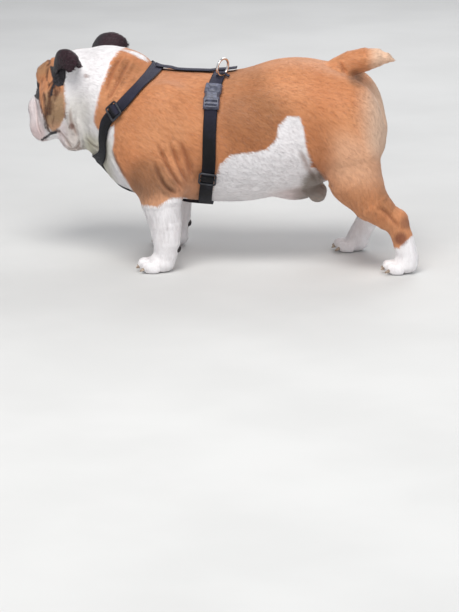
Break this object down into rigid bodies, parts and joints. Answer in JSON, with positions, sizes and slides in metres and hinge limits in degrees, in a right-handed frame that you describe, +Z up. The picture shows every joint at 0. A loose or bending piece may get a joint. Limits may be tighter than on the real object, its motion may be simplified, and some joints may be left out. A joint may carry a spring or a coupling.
{
  "type": "english bulldog, standing adult, in a webbing harness",
  "caption": "Life-size still model of a stocky fawn and white english bulldog standing square with its head turned away, wearing a black webbing harness with a buckle and a lead ring",
  "frame": {"origin": "On the floor, in the middle of the footprint of the whole.", "axes": "+X runs towards the tail, the nose points to -X; the dog's left side is -Y and its right side +Y; +Z is up."},
  "size_m": [0.7492, 0.2892, 0.4159],
  "materials": {
    "fawn_coat": "short smooth dog coat, reddish fawn",
    "white_coat": "short smooth dog coat, white",
    "dark_coat": "very short dark brindle ear coat",
    "bare_skin": "thinly haired greyish pink skin",
    "dark_leather_skin": "black pebbled nose and pad skin",
    "claw_horn": "pale horn",
    "eye": "wet dark brown eye with a clear shine",
    "webbing": "black nylon webbing, 25 mm wide, woven ribs",
    "harness_plastic": "dark moulded plastic, slightly worn",
    "ring_steel": "nickel plated steel wire"
  },
  "bodies": {
    "root": {"torso": "fawn_coat", "tail": "fawn_coat", "scrotum": "bare_skin", "head": "fawn_coat", "eye_left": "eye", "eye_right": "eye", "nose": "dark_leather_skin", "neck": "white_coat", "ear_left": "dark_coat", "ear_right": "dark_coat", "foreleg_left": "white_coat", "carpal_pad_left": "dark_leather_skin", "thigh_left": "fawn_coat", "hindleg_left": "white_coat", "foreleg_right": "white_coat", "carpal_pad_right": "dark_leather_skin", "thigh_right": "fawn_coat", "hindleg_right": "white_coat", "forepaw_left": "white_coat", "forepaw_left_claw_outer": "claw_horn", "forepaw_left_claw_mid_outer": "claw_horn", "forepaw_left_claw_mid_inner": "claw_horn", "forepaw_left_claw_inner": "claw_horn", "forepaw_right": "white_coat", "forepaw_right_claw_outer": "claw_horn", "forepaw_right_claw_mid_outer": "claw_horn", "forepaw_right_claw_mid_inner": "claw_horn", "forepaw_right_claw_inner": "claw_horn", "hindpaw_left": "white_coat", "hindpaw_left_claw_outer": "claw_horn", "hindpaw_left_claw_mid_outer": "claw_horn", "hindpaw_left_claw_mid_inner": "claw_horn", "hindpaw_left_claw_inner": "claw_horn", "hindpaw_right": "white_coat", "hindpaw_right_claw_outer": "claw_horn", "hindpaw_right_claw_mid_outer": "claw_horn", "hindpaw_right_claw_mid_inner": "claw_horn", "hindpaw_right_claw_inner": "claw_horn", "neck_strap_left": "webbing", "girth_strap_left": "webbing", "neck_strap_right": "webbing", "girth_strap_right": "webbing", "back_strap": "webbing", "chest_strap": "webbing", "neck_slider_left": "harness_plastic", "neck_slider_right": "harness_plastic", "girth_slider_left": "harness_plastic", "buckle_left": "harness_plastic", "lead_ring": "ring_steel", "ring_keeper": "webbing"}
  },
  "joints": []
}
